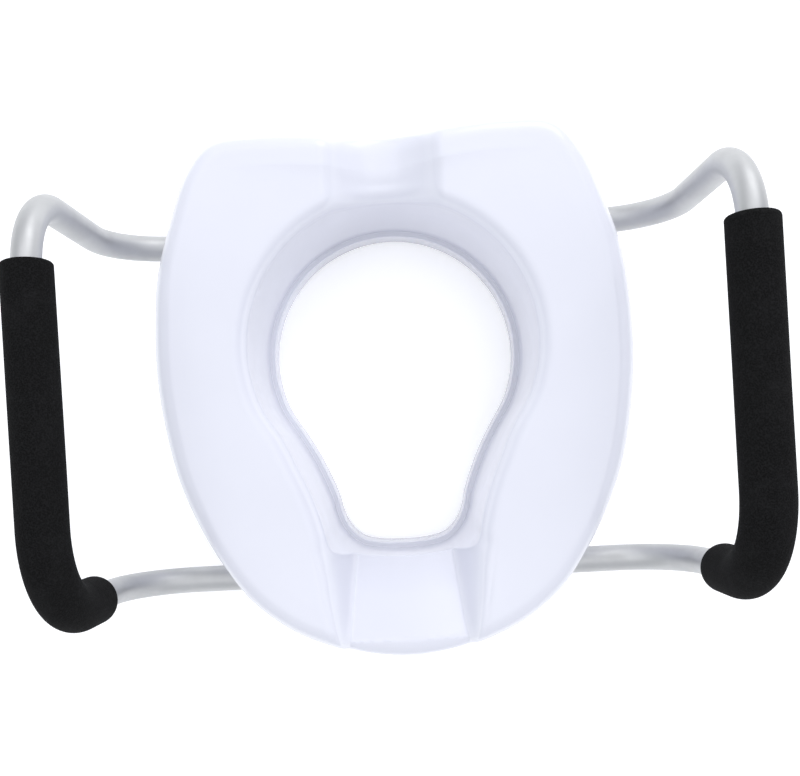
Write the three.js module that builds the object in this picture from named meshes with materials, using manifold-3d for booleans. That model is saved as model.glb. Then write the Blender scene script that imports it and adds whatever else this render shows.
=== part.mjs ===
// Raised toilet seat with padded arms and a front screw clamp.
// Units are millimetres. +X is the sitter's left, +Y the rear of the seat, +Z up.
// The origin lies below the middle of the whole object, level with the lowest edge of the splash collar.

import * as THREE from 'three';
import { mergeVertices } from 'three/addons/utils/BufferGeometryUtils.js';
import Module from 'manifold-3d';

const wasm = await Module();
wasm.setup();

// ---------------------------------------------------------------- driving dimensions

const GAP = 0.3; // clearance kept between pieces that touch

// Heights
const SEAT_TOP = 148;
const UNDERSIDE = 25; // flat underside of the moulding
const PAD_FOOT = 21; // what rests on the bowl: 127 below the seat top
const COLLAR_FOOT = 0;
const LEDGE = 36; // step where the collar meets the wall of the hole
const SKIRT_FOOT = 114; // lower edge of the overhanging rim
const STUB_HEIGHT = 90; // axis of the arm stubs
const ARM_HEIGHT = 287; // axis of the armrests
const WALL = 3;

// Hole and rim outlines: the +X half, from the rear centre to the front centre, matched point by point.
// The round rear of each hole outline is an arc, and HOLE_..._FRONT carries it on through the neck.
const ARC_POINTS = 9;
const ARC_FROM = 90;
const ARC_TO = -38;
const HOLE_LOW = { radius: 111.2, centreY: 35.3 };
const HOLE_LOW_FRONT = [
  [77.5, -51], [67, -74], [59.6, -94], [56.5, -107], [50.5, -121], [39, -132.5], [24, -137], [0, -138.5],
];
const HOLE_TOP = { radius: 122.5, centreY: 40.5 };
const HOLE_TOP_FRONT = [
  [86, -58], [76.5, -80], [70, -99], [66, -114], [62, -130], [50, -142], [27, -145], [0, -145.5],
];
const RIM = [
  [0, 217], [104, 223.3], [144.5, 218.6], [165.8, 195.1], [182.5, 152.7], [195, 110.3], [199.5, 70],
  [200.3, 25], [195.6, -20.3], [185.7, -66.5], [169.6, -107.7], [151.8, -140], [129.5, -170],
  [96, -196.4], [62.4, -211.4], [38, -219], [0, -223.3],
];
// Stations between matched points, from the rear centre to the front centre: closer at the cut-outs.
const HALF_STATIONS = [8, 3, 2, 2, 2, 2, 2, 2, 2, 2, 2, 2, 6, 6, 4, 2];

// Cut-outs in the seat top. Each floor slopes from the hole to the rim. The front one's sides climb from a
// foot line to a top line, and the rear one is a shallow trough.
const FRONT_CUT = {
  innerY: -143, innerFloor: 82, outerY: -209, outerFloor: 130, fillet: 5, fadeFrom: -125,
  footHalf: 40.5, footFlare: -0.108, footFrom: -135,
  topHalf: 62.5, topFlare: 0.2, topFrom: -203,
};
const REAR_CUT = { innerY: 166, innerFloor: 121, outerY: 215, outerFloor: 124, half: 47, fadeFrom: 130 };
const CUT_BLEND = 6;

// Arms: centre-line corners of the tube on the +X side, with the radius of each bend
const TUBE_R = 11.1; // 7/8 inch tube
const TUBE_WALL = 1.5;
const ARM_CORNERS = [
  [105, 139.5, STUB_HEIGHT, 0],
  [242.3, 139.5, STUB_HEIGHT, 61],
  [255.4, 156, ARM_HEIGHT, 52],
  [253.8, -150.5, ARM_HEIGHT, 66.6],
  [242.3, -155, STUB_HEIGHT, 63],
  [66, -155, STUB_HEIGHT, 0],
];
const PIPE_SIDES = { outer: 12, inner: 12 };
const GRIP_R = 19.3;
const BEND_STEP = 15; // degrees of bend between swept sections
const GRIP_FROM = 337; // arc length from the rear end of the tube to the foam
const GRIP_TO_END = 251.5; // arc length from the foam to the front end of the tube

// Sockets for the arms
const SOCKET_BORE_R = 11.5;
const SOCKET_R = 13.5;
const SOCKETS = {
  rear: { y: 139.5, from: 102, to: 178, button: 170.5 },
  front: { y: -155, from: 63, to: 130, button: 124 },
};
const BOSS_WALL = 3;

// Snap buttons
const BUTTON_R = 3.8;
const BUTTON_REACH = 14.6; // from the tube axis to the tip
const BUTTON_FLANGE = { radius: 4.6, from: 7.8, to: 6.8 }; // depths below the tube axis
const SPRING_WIDTH = 6;

// Front clamp
const SCREW_Z = 50;
const SCREW_R = 4;
const POCKET = { halfX: 26, fromY: -190, toY: -150, top: 66 };
const NOSE = { radius: 14, faceY: -200 };
const KNOB = { radius: 24, fromY: -220.5, toY: -202.9, lobes: 6, steps: 6 };
const JAW = { halfX: 25.4, fromY: -168, toY: -154, bottom: 37, top: 63 };
const JAW_PLATE = { halfX: 21, fromY: -164, toY: -158, bottom: 1 };
const NUT_FLATS = 13;
const NUT_LENGTH = 8;

// Rear stops
const STOP_X = 50;
const STOP = { halfX: 12, fromY: 153, toY: 183, thick: 2.7, bottom: 1.5 };
const STOP_SCREWS_Y = [164, 176];
const STOP_RECESS = 3.1;

// Rubber pads under the seat: centre, and half lengths
const REST_PADS = { rear: [112, 148], front: [92, -118] };
const REST_PAD_HALF = [15, 26];

// ---------------------------------------------------------------- helpers

function finish(shape, name, colour, roughness, metalness) {
  const material = new THREE.MeshStandardMaterial({ color: colour, roughness, metalness });
  const mesh = new THREE.Mesh(shape, material);
  mesh.name = name;
  return mesh;
}

function toSolid(geometry) {
  const bare = geometry.clone();
  bare.deleteAttribute('normal');
  bare.deleteAttribute('uv');
  const merged = mergeVertices(bare, 1e-4);
  return new wasm.Manifold(new wasm.Mesh({
    numProp: 3,
    vertProperties: new Float32Array(merged.attributes.position.array),
    triVerts: new Uint32Array(merged.index.array),
  }));
}

function toGeometry(solid) {
  const mesh = solid.getMesh();
  const geometry = new THREE.BufferGeometry();
  geometry.setAttribute('position', new THREE.BufferAttribute(new Float32Array(mesh.vertProperties), 3));
  geometry.setIndex(new THREE.BufferAttribute(new Uint32Array(mesh.triVerts), 1));
  return geometry;
}

function box(fromX, toX, fromY, toY, fromZ, toZ) {
  const geometry = new THREE.BoxGeometry(toX - fromX, toY - fromY, toZ - fromZ);
  return geometry.translate((fromX + toX) / 2, (fromY + toY) / 2, (fromZ + toZ) / 2);
}

// A cylinder from one end to the other along a world axis: 'x', 'y' or 'z'.
function rod(axis, radius, from, to, place, sides = 24) {
  const geometry = new THREE.CylinderGeometry(radius, radius, to - from, sides);
  if (axis === 'x') geometry.rotateZ(-Math.PI / 2);
  if (axis === 'z') geometry.rotateX(Math.PI / 2);
  const middle = (from + to) / 2;
  const at = { x: [middle, ...place], y: [place[0], middle, place[1]], z: [...place, middle] }[axis];
  return geometry.translate(...at);
}

// A turned piece: profile points are [radius, distance along the axis], closed on itself.
function turned(axis, profile, place, sides = 24) {
  const points = [...profile, profile[0]].map(([radius, along]) => new THREE.Vector2(radius, along));
  const geometry = new THREE.LatheGeometry(points, sides);
  if (axis === 'x') geometry.rotateZ(-Math.PI / 2);
  if (axis === 'z') geometry.rotateX(Math.PI / 2);
  const at = { x: [0, ...place], y: [place[0], 0, place[1]], z: [...place, 0] }[axis];
  return geometry.translate(...at);
}

function mirrored(geometry) {
  const copy = geometry.index ? geometry.toNonIndexed() : geometry.clone();
  copy.scale(-1, 1, 1);
  const p = copy.attributes.position;
  for (let i = 0; i < p.count; i += 3) {
    const [x, y, z] = [p.getX(i), p.getY(i), p.getZ(i)];
    p.setXYZ(i, p.getX(i + 2), p.getY(i + 2), p.getZ(i + 2));
    p.setXYZ(i + 2, x, y, z);
  }
  return copy;
}

// ---------------------------------------------------------------- seat moulding

function outline(half) {
  const left = half.slice(1, -1).reverse().map(([x, y]) => [-x, y]);
  const points = [...half, ...left].map(([x, y]) => new THREE.Vector3(x, y, 0));
  return new THREE.CatmullRomCurve3(points, true, 'centripetal');
}

function holeOutline({ radius, centreY }, front) {
  const arc = Array.from({ length: ARC_POINTS }, (_, i) => {
    const angle = THREE.MathUtils.degToRad(ARC_FROM + (ARC_TO - ARC_FROM) * i / (ARC_POINTS - 1));
    return [radius * Math.cos(angle), centreY + radius * Math.sin(angle)];
  });
  return outline([...arc, ...front]);
}

const holeLow = holeOutline(HOLE_LOW, HOLE_LOW_FRONT);
const holeTop = holeOutline(HOLE_TOP, HOLE_TOP_FRONT);
const rim = outline(RIM);
const intervals = [...HALF_STATIONS, ...[...HALF_STATIONS].reverse()];
const stations = intervals.flatMap((count, k) => (
  Array.from({ length: count }, (_, i) => (k + i / count) / intervals.length)
));

// The point of an outline at a station, moved away from the outline's inside by an offset.
function along(curve, t, offset) {
  const step = 1e-3;
  const point = curve.getPoint(t);
  const tangent = curve.getPoint((t + step) % 1).sub(curve.getPoint((t - step + 1) % 1)).normalize();
  return [point.x - tangent.y * offset, point.y + tangent.x * offset];
}

function mix(a, b, share) {
  return [a[0] + (b[0] - a[0]) * share, a[1] + (b[1] - a[1]) * share];
}

function smoothMin(a, b, blend) {
  const h = Math.max(blend - Math.abs(a - b), 0) / blend;
  return Math.min(a, b) - h * h * blend / 4;
}

function floorHeight(cut, y) {
  const share = (y - cut.innerY) / (cut.outerY - cut.innerY);
  return cut.innerFloor + (cut.outerFloor - cut.innerFloor) * Math.min(Math.max(share, -0.3), 1);
}

// Height of the front cut-out at a distance `out` from its middle: a floor, then sides that roll over.
function frontCutHeight(out, y) {
  const floor = floorHeight(FRONT_CUT, y);
  const foot = FRONT_CUT.footHalf + FRONT_CUT.footFlare * (y - FRONT_CUT.footFrom);
  const top = FRONT_CUT.topHalf + FRONT_CUT.topFlare * (y - FRONT_CUT.topFrom);
  const climb = (distance) => Math.hypot(Math.max(distance, 0), FRONT_CUT.fillet) - FRONT_CUT.fillet;
  const share = Math.min(climb(out - foot) / climb(top - foot), 1);
  const past = Math.max(out - top, 0) + Math.max(y - FRONT_CUT.fadeFrom, 0);
  return floor + (SEAT_TOP - floor) * Math.sin(share * Math.PI / 2) + past;
}

function rearCutHeight(out, y) {
  const floor = floorHeight(REAR_CUT, y);
  return floor + (SEAT_TOP - floor) * (out / REAR_CUT.half) ** 2 + 2 * Math.max(REAR_CUT.fadeFrom - y, 0);
}

function squeezed(z, base, localTop) {
  return base + (z - base) * (localTop - base) / (SEAT_TOP - base);
}

// One ring of the moulding: `at` gives the plan point of a station, `z` the height before the cut-outs.
// The cut-outs clip a ring, or squeeze it down: 'wall' rings do so at the rear, 'rim' rings everywhere.
// `inset` keeps the ring that far inside the surface of a cut-out.
function ring(at, z, treatment, inset = 0) {
  return stations.map((t) => {
    const [x, y] = at(t);
    if (treatment === 'plain') return [x, y, z];
    const out = Math.max(Math.abs(x) - inset, 0);
    const cut = (y < 0 ? frontCutHeight(out, y) : rearCutHeight(out, y)) - inset;
    const localTop = smoothMin(SEAT_TOP, cut, CUT_BLEND);
    if (treatment === 'rim') return [x, y, squeezed(z, SKIRT_FOOT - 2, localTop)];
    if (treatment === 'wall' && y > 0) return [x, y, squeezed(z, LEDGE + 1.5, localTop)];
    return [x, y, smoothMin(z, cut, CUT_BLEND)];
  });
}

function ringSolid(rings) {
  const positions = rings.flat(2);
  const index = [];
  rings.forEach((_, r) => {
    const next = (r + 1) % rings.length;
    for (let i = 0; i < stations.length; i += 1) {
      const j = (i + 1) % stations.length;
      const [from, to] = [r * stations.length, next * stations.length];
      const [a, b, c, d] = [from + i, from + j, to + j, to + i];
      index.push(a, b, c, a, c, d);
    }
  });
  return new wasm.Manifold(new wasm.Mesh({
    numProp: 3,
    vertProperties: new Float32Array(positions),
    triVerts: new Uint32Array(index),
  }));
}

const low = (offset) => (t) => along(holeLow, t, offset);
const top = (offset) => (t) => along(holeTop, t, offset);
const edge = (offset) => (t) => along(rim, t, -offset);
const wallOf = (share, offset) => (
  (t) => mix(along(holeLow, t, 4.5 + offset), along(holeTop, t, offset), share)
);
const across = (share) => (t) => mix(along(holeTop, t, 14), along(rim, t, -28), share);

function seatOutside() {
  return ringSolid([
    ring(low(0), COLLAR_FOOT, 'plain'),
    ring(low(0), LEDGE - 2, 'plain'),
    ring(low(4.5), LEDGE, 'plain'),
    ring(wallOf(0.45, 0), 80, 'wall'),
    ring(top(0), 129, 'wall'),
    ring(top(4.5), 140.5, 'wall'),
    ring(across(0), 144.5, 'wall'),
    ring(across(0.2), 145.1, 'wall'),
    ring(across(0.4), 145.8, 'wall'),
    ring(across(0.6), 146.5, 'wall'),
    ring(across(0.8), 147.1, 'wall'),
    ring(across(1), 147.6, 'rim'),
    ring(edge(15), SEAT_TOP, 'rim'),
    ring(edge(7.5), 146, 'rim'),
    ring(edge(2.2), 141, 'rim'),
    ring(edge(0), 133, 'rim'),
    ring(edge(0), 121, 'rim'),
    ring(edge(3), SKIRT_FOOT + 1.5, 'rim'),
    ring(edge(8), SKIRT_FOOT, 'rim'),
    ring(edge(22), 109, 'plain'),
    ring(edge(25), 102, 'plain'),
    ring(edge(27.5), UNDERSIDE + 3, 'plain'),
    ring(edge(30.5), UNDERSIDE, 'plain'),
    ring(low(8.5), UNDERSIDE, 'plain'),
    ring(low(4.8), UNDERSIDE - 3.5, 'plain'),
    ring(low(4), COLLAR_FOOT, 'plain'),
  ]);
}

function seatCavity() {
  const inset = 4.5; // the cut-outs' steep sides keep their thickness
  return ringSolid([
    ring(low(4.5 + WALL + 4), UNDERSIDE + WALL, 'plain'),
    ring(wallOf(0.2, WALL), 50, 'wall', inset),
    ring(top(WALL), 128, 'wall', inset),
    ring(across(0), 141.3, 'wall', inset),
    ring(across(0.33), 142.4, 'wall', inset),
    ring(across(0.67), 143.4, 'wall', inset),
    ring(across(1), 144.4, 'rim', inset),
    ring(edge(11), 142, 'rim', inset),
    ring(edge(11), 118.5, 'clip', inset + 2),
    ring(edge(22 + WALL), 109 + WALL + 1, 'plain'),
    ring(edge(25 + WALL), 104, 'plain'),
    ring(edge(30.5 + WALL), UNDERSIDE + WALL, 'plain'),
  ]);
}

const SIDES = { left: 1, right: -1 };

function socketSolids(radius, extra) {
  const solids = [];
  for (const side of Object.values(SIDES)) {
    for (const socket of Object.values(SOCKETS)) {
      const ends = [side * (socket.from - extra), side * (socket.to + 20)].sort((a, b) => a - b);
      solids.push(toSolid(rod('x', radius, ...ends, [socket.y, STUB_HEIGHT])));
    }
  }
  return solids;
}

function seatBody() {
  let outside = seatOutside();
  outside = outside.add(toSolid(rod('y', NOSE.radius, NOSE.faceY, NOSE.faceY + 9, [0, SCREW_Z])));
  const bosses = socketSolids(SOCKET_R + GAP + BOSS_WALL, GAP + BOSS_WALL);
  const { halfX, fromY, toY, top: pocketTop } = POCKET;
  bosses.push(toSolid(box(
    -halfX - WALL, halfX + WALL, fromY - WALL - 2, toY + WALL + 0.5, UNDERSIDE, pocketTop + WALL,
  )));
  for (const side of Object.values(SIDES)) {
    const x = side * STOP_X;
    bosses.push(toSolid(box(x - 15, x + 15, STOP.fromY - 3, STOP.toY + 3, UNDERSIDE, UNDERSIDE + 13)));
  }
  const inner = bosses.reduce((all, boss) => all.add(boss)).intersect(outside);
  let body = outside.subtract(seatCavity()).add(inner);

  const cuts = socketSolids(SOCKET_R + GAP, GAP);
  cuts.push(toSolid(box(-halfX, halfX, fromY, toY, UNDERSIDE - 8, pocketTop)));
  cuts.push(toSolid(rod('y', 7.3, NOSE.faceY - 1, fromY + 1, [0, SCREW_Z])));
  for (const side of Object.values(SIDES)) {
    const x = side * STOP_X;
    const half = STOP.halfX + GAP;
    cuts.push(toSolid(box(
      x - half, x + half, STOP.fromY - 0.6, STOP.toY + GAP, UNDERSIDE - 4, UNDERSIDE + STOP_RECESS,
    )));
    for (const y of STOP_SCREWS_Y) {
      cuts.push(toSolid(rod('z', 2, UNDERSIDE, UNDERSIDE + 11.5, [x, y], 12)));
    }
  }
  cuts.push(toSolid(rod('z', 4, UNDERSIDE - 2, UNDERSIDE + 8, [0, 172], 12))); // blow-moulding vent
  body = body.subtract(cuts.reduce((all, cut) => all.add(cut)));
  return finish(toGeometry(body), 'seat_body', 0xe7e8f2, 0.22, 0);
}

// ---------------------------------------------------------------- sockets and arms

function armSocket(sideName, endName) {
  const socket = SOCKETS[endName];
  const profile = [
    [SOCKET_BORE_R, socket.from], [SOCKET_R, socket.from], [SOCKET_R, socket.to - 1],
    [SOCKET_R - 0.8, socket.to], [SOCKET_BORE_R + 0.6, socket.to], [SOCKET_BORE_R, socket.to - 1],
  ];
  const sleeve = toSolid(turned('x', profile, [socket.y, STUB_HEIGHT], 20));
  const hole = rod('z', BUTTON_R + 0.5, STUB_HEIGHT - 20, STUB_HEIGHT - 5, [socket.button, socket.y], 16);
  const geometry = toGeometry(sleeve.subtract(toSolid(hole)));
  const shape = sideName === 'right' ? mirrored(geometry) : geometry;
  return finish(shape, `${sideName}_${endName}_arm_socket`, 0xd9dbe2, 0.4, 0);
}

// A centre-line of straight stretches joined by circular bends, measured by arc length.
// A swept section stands at each end of a bend and at every BEND_STEP within it.
class BentLine extends THREE.Curve {
  constructor(corners) {
    super();
    const at = corners.map(([x, y, z]) => new THREE.Vector3(x, y, z));
    this.pieces = [];
    let from = at[0];
    for (let i = 1; i < at.length - 1; i += 1) {
      const back = at[i - 1].clone().sub(at[i]).normalize();
      const ahead = at[i + 1].clone().sub(at[i]).normalize();
      const corner = back.angleTo(ahead);
      const radius = corners[i][3];
      const start = at[i].clone().addScaledVector(back, radius / Math.tan(corner / 2));
      const inward = back.clone().add(ahead).normalize();
      const centre = at[i].clone().addScaledVector(inward, radius / Math.sin(corner / 2));
      const turn = Math.PI - corner;
      const u = start.clone().sub(centre).normalize();
      const v = back.clone().negate();
      this.pieces.push({ from, to: start, length: from.distanceTo(start) });
      this.pieces.push({ centre, u, v, radius, turn, length: radius * turn });
      from = at[i].clone().addScaledVector(ahead, radius / Math.tan(corner / 2));
    }
    this.pieces.push({ from, to: at.at(-1), length: from.distanceTo(at.at(-1)) });
    this.total = this.pieces.reduce((sum, piece) => sum + piece.length, 0);
    this.setEnds(0, this.total);
  }

  setEnds(start, end) {
    this.start = start;
    this.end = end;
    let s = 0;
    const marks = [];
    for (const piece of this.pieces) {
      const count = piece.radius ? Math.ceil(piece.turn / THREE.MathUtils.degToRad(BEND_STEP)) : 1;
      for (let k = 0; k < count; k += 1) marks.push(s + piece.length * k / count);
      s += piece.length;
    }
    this.sections = [start, ...marks.filter((mark) => mark > start + 1 && mark < end - 1), end];
  }

  between(start, end) {
    const part = Object.assign(Object.create(Object.getPrototypeOf(this)), this);
    part.setEnds(start, end);
    return part;
  }

  getUtoTmapping(u) {
    const place = u * (this.sections.length - 1);
    const i = Math.min(Math.floor(place), this.sections.length - 2);
    const s = THREE.MathUtils.lerp(this.sections[i], this.sections[i + 1], place - i);
    return (s - this.start) / (this.end - this.start);
  }

  getPoint(t, target = new THREE.Vector3()) {
    let s = this.start + (this.end - this.start) * t;
    const piece = this.pieces.find((each, i) => {
      if (s <= each.length || i === this.pieces.length - 1) return true;
      s -= each.length;
      return false;
    });
    if (piece.from) return target.copy(piece.from).lerp(piece.to, s / piece.length);
    const angle = s / piece.radius;
    return target.copy(piece.centre)
      .addScaledVector(piece.u, piece.radius * Math.cos(angle))
      .addScaledVector(piece.v, piece.radius * Math.sin(angle));
  }
}

function circlePath(PathClass, radius, sides) {
  const points = Array.from({ length: sides }, (_, i) => {
    const angle = 2 * Math.PI * i / sides;
    return new THREE.Vector2(radius * Math.cos(angle), radius * Math.sin(angle));
  });
  return new PathClass(points);
}

function pipe(path, outer, inner) {
  const shape = circlePath(THREE.Shape, outer, PIPE_SIDES.outer);
  shape.holes.push(circlePath(THREE.Path, inner, PIPE_SIDES.inner));
  const steps = path.sections.length - 1;
  return new THREE.ExtrudeGeometry(shape, { steps, extrudePath: path, bevelEnabled: false });
}

const armLine = new BentLine(ARM_CORNERS);

function armTube(sideName) {
  let solid = toSolid(pipe(armLine, TUBE_R, TUBE_R - TUBE_WALL));
  for (const socket of Object.values(SOCKETS)) {
    const hole = rod('z', BUTTON_R + 0.4, STUB_HEIGHT - 16, STUB_HEIGHT - 4, [socket.button, socket.y], 16);
    solid = solid.subtract(toSolid(hole));
  }
  const geometry = toGeometry(solid);
  const shape = sideName === 'right' ? mirrored(geometry) : geometry;
  return finish(shape, `${sideName}_arm_tube`, 0xc9c8c6, 0.35, 0.9);
}

function armGrip(sideName) {
  const stretch = armLine.between(GRIP_FROM, armLine.total - GRIP_TO_END);
  const shape = toGeometry(toSolid(pipe(stretch, GRIP_R, TUBE_R + 2 * GAP)));
  return finish(sideName === 'right' ? mirrored(shape) : shape, `${sideName}_arm_grip`, 0x1d1d1f, 0.95, 0);
}

function snapButton(sideName, endName) {
  const socket = SOCKETS[endName];
  const z = STUB_HEIGHT;
  const profile = [
    [0, z - BUTTON_REACH], [BUTTON_R * 0.6, z - BUTTON_REACH + 0.3], [BUTTON_R, z - BUTTON_REACH + 1.6],
    [BUTTON_R, z - BUTTON_FLANGE.from], [BUTTON_FLANGE.radius, z - BUTTON_FLANGE.from],
    [BUTTON_FLANGE.radius, z - BUTTON_FLANGE.to], [0, z - BUTTON_FLANGE.to],
  ];
  const points = profile.map(([radius, height]) => new THREE.Vector2(radius, height));
  const geometry = new THREE.LatheGeometry(points, 16).rotateX(Math.PI / 2);
  const x = SIDES[sideName] * socket.button;
  return finish(geometry.translate(x, socket.y, 0), `${sideName}_${endName}_snap_button`, 0xb9bcc0, 0.25, 1);
}

// A leaf spring bent double: the lower leaf carries the button, the upper one lies against the tube.
function snapSpring(sideName, endName) {
  const socket = SOCKETS[endName];
  const thick = 0.6;
  const lower = -BUTTON_FLANGE.to + GAP;
  const upper = 6.9;
  const bend = 2.6;
  const reach = 36;
  const outer = new THREE.Shape();
  outer.moveTo(6, lower);
  outer.lineTo(-reach, -bend);
  outer.absarc(-reach, 0, bend, -Math.PI / 2, Math.PI / 2, true);
  outer.lineTo(2, upper);
  outer.lineTo(2, upper - thick);
  outer.lineTo(-reach, bend - thick);
  outer.absarc(-reach, 0, bend - thick, Math.PI / 2, -Math.PI / 2, false);
  outer.lineTo(6, lower + thick);
  const options = { depth: SPRING_WIDTH, bevelEnabled: false, curveSegments: 6 };
  const geometry = new THREE.ExtrudeGeometry(outer, options);
  geometry.rotateX(Math.PI / 2).translate(socket.button, socket.y + SPRING_WIDTH / 2, STUB_HEIGHT);
  const shape = sideName === 'right' ? mirrored(geometry) : geometry;
  return finish(shape, `${sideName}_${endName}_snap_spring`, 0x9a9da2, 0.3, 1);
}

// ---------------------------------------------------------------- front clamp

function clampKnob() {
  const points = Array.from({ length: KNOB.lobes * KNOB.steps }, (_, i) => {
    const angle = 2 * Math.PI * i / (KNOB.lobes * KNOB.steps);
    const radius = KNOB.radius - 2.6 * (0.5 - 0.5 * Math.cos(KNOB.lobes * angle)) ** 0.7;
    return new THREE.Vector2(radius * Math.cos(angle), radius * Math.sin(angle));
  });
  const depth = KNOB.toY - KNOB.fromY;
  const grip = new THREE.ExtrudeGeometry(new THREE.Shape(points), {
    depth: depth - 4, bevelEnabled: true, bevelThickness: 2, bevelSize: 2, bevelOffset: -2, bevelSegments: 1,
  });
  grip.rotateX(Math.PI / 2).translate(0, KNOB.toY - 2, SCREW_Z);
  const bore = rod('y', SCREW_R + GAP, KNOB.fromY + 5, KNOB.toY + 1, [0, SCREW_Z]);
  const back = KNOB.toY;
  const dish = turned('y', [[0, back - 6], [17, back - 6], [18, back + 1], [0, back + 1]], [0, SCREW_Z]);
  const hub = turned('y', [[0, back - 7], [8.5, back - 7], [8.5, back], [0, back]], [0, SCREW_Z]);
  const solid = toSolid(grip).subtract(toSolid(dish)).add(toSolid(hub)).subtract(toSolid(bore));
  return finish(toGeometry(solid), 'clamp_knob', 0x2a2b2e, 0.5, 0);
}

function clampScrew() {
  const profile = [
    [0, KNOB.fromY + 5.4], [SCREW_R, KNOB.fromY + 5.4], [SCREW_R, -189.9], [3.2, -189.9], [3.2, -188.6],
    [SCREW_R, -188.6], [SCREW_R, -153], [SCREW_R - 1, -152], [0, -152],
  ];
  const points = profile.map(([radius, height]) => new THREE.Vector2(radius, height));
  const geometry = new THREE.LatheGeometry(points, 20).translate(0, 0, SCREW_Z);
  return finish(geometry, 'clamp_screw', 0xa6a8ab, 0.3, 1);
}

function screwBush() {
  const face = NOSE.faceY - GAP;
  const profile = [
    [SCREW_R + GAP, face - 2], [11, face - 2], [11, face], [7, face], [7, POCKET.fromY - GAP],
    [SCREW_R + GAP, POCKET.fromY - GAP],
  ];
  return finish(turned('y', profile, [0, SCREW_Z]), 'screw_bush', 0xefefef, 0.5, 0);
}

function retainingClip() {
  const shape = new THREE.Shape();
  const open = THREE.MathUtils.degToRad(35);
  shape.absarc(0, 0, 7.4, -Math.PI / 2 + open, 1.5 * Math.PI - open, false);
  shape.absarc(0, 0, 3.4, 1.5 * Math.PI - open, -Math.PI / 2 + open, true);
  const geometry = new THREE.ExtrudeGeometry(shape, { depth: 0.8, bevelEnabled: false, curveSegments: 12 });
  geometry.rotateX(Math.PI / 2).translate(0, -188.8, SCREW_Z);
  return finish(geometry, 'screw_retaining_clip', 0x84868a, 0.35, 1);
}

function hexPrism(flats, fromY, toY) {
  const geometry = new THREE.CylinderGeometry(flats / Math.sqrt(3), flats / Math.sqrt(3), toY - fromY, 6);
  return geometry.translate(0, (fromY + toY) / 2, SCREW_Z);
}

function clampNut() {
  const toY = JAW.toY - 1;
  const solid = toSolid(hexPrism(NUT_FLATS, toY - NUT_LENGTH, toY));
  const bore = toSolid(rod('y', SCREW_R + GAP, toY - NUT_LENGTH - 1, toY + 1, [0, SCREW_Z], 20));
  return finish(toGeometry(solid.subtract(bore)), 'clamp_nut', 0xa9abae, 0.3, 1);
}

function clampJaw() {
  const block = toSolid(box(-JAW.halfX, JAW.halfX, JAW.fromY, JAW.toY, JAW.bottom, JAW.top));
  const plate = toSolid(box(
    -JAW_PLATE.halfX, JAW_PLATE.halfX, JAW_PLATE.fromY, JAW_PLATE.toY, JAW_PLATE.bottom, JAW.bottom + 1,
  ));
  const seatOfNut = toSolid(hexPrism(NUT_FLATS + 2 * GAP, JAW.toY - 1 - NUT_LENGTH - GAP, JAW.toY + 1));
  const bore = toSolid(rod('y', SCREW_R + 0.6, JAW.fromY - 1, JAW.toY + 1, [0, SCREW_Z], 20));
  let solid = block.add(plate).subtract(seatOfNut).subtract(bore);
  for (const x of [-17, 17]) {
    const pocket = box(x - 5.5, x + 5.5, JAW.fromY + 3, JAW.toY + 1, JAW.bottom + 3, JAW.top - 3);
    solid = solid.subtract(toSolid(pocket));
  }
  return finish(toGeometry(solid), 'clamp_jaw', 0xe2e3e8, 0.4, 0);
}

function jawPad() {
  const { halfX, fromY } = JAW_PLATE;
  const geometry = box(-halfX + 1, halfX - 1, fromY - GAP - 3, fromY - GAP, 2, 19.5);
  return finish(geometry, 'clamp_jaw_pad', 0x222324, 0.9, 0);
}

// ---------------------------------------------------------------- rear stops and rest pads

function rearStop(sideName) {
  const x = SIDES[sideName] * STOP_X;
  const plateTop = UNDERSIDE + STOP_RECESS - GAP;
  const outlineOfPlate = new THREE.Shape();
  outlineOfPlate.moveTo(STOP.fromY, STOP.bottom);
  outlineOfPlate.lineTo(STOP.fromY + STOP.thick, STOP.bottom);
  outlineOfPlate.lineTo(STOP.fromY + STOP.thick, plateTop - STOP.thick - 2);
  outlineOfPlate.lineTo(STOP.fromY + STOP.thick + 2, plateTop - STOP.thick);
  outlineOfPlate.lineTo(STOP.toY, plateTop - STOP.thick);
  outlineOfPlate.lineTo(STOP.toY, plateTop);
  outlineOfPlate.lineTo(STOP.fromY, plateTop);
  const geometry = new THREE.ExtrudeGeometry(outlineOfPlate, { depth: 2 * STOP.halfX, bevelEnabled: false });
  geometry.rotateY(Math.PI / 2).rotateX(Math.PI / 2).translate(x - STOP.halfX, 0, 0);
  let solid = toSolid(geometry);
  for (const y of STOP_SCREWS_Y) {
    solid = solid.subtract(toSolid(rod('z', 2, UNDERSIDE - 6, UNDERSIDE + 6, [x, y], 16)));
  }
  return finish(toGeometry(solid), `${sideName}_rear_stop`, 0xb4b6ba, 0.35, 0.9);
}

function rearStopPad(sideName) {
  const x = SIDES[sideName] * STOP_X;
  const fromY = STOP.fromY + STOP.thick + GAP;
  const geometry = box(x - STOP.halfX + 1, x + STOP.halfX - 1, fromY, fromY + 2.5, 2, 18);
  return finish(geometry, `${sideName}_rear_stop_pad`, 0x222324, 0.9, 0);
}

function stopScrew(sideName, number) {
  const x = SIDES[sideName] * STOP_X;
  const face = UNDERSIDE + STOP_RECESS - GAP - STOP.thick - 0.1;
  const profile = [
    [0, face - 1.9], [2.6, face - 1.7], [3.8, face - 0.6], [3.8, face], [1.6, face], [1.6, UNDERSIDE + 10],
    [0, UNDERSIDE + 11],
  ];
  const points = profile.map(([radius, height]) => new THREE.Vector2(radius, height));
  const geometry = new THREE.LatheGeometry(points, 16).rotateX(Math.PI / 2);
  geometry.translate(x, STOP_SCREWS_Y[number - 1], 0);
  return finish(geometry, `${sideName}_rear_stop_screw_${number}`, 0xaeb0b3, 0.3, 1);
}

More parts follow.
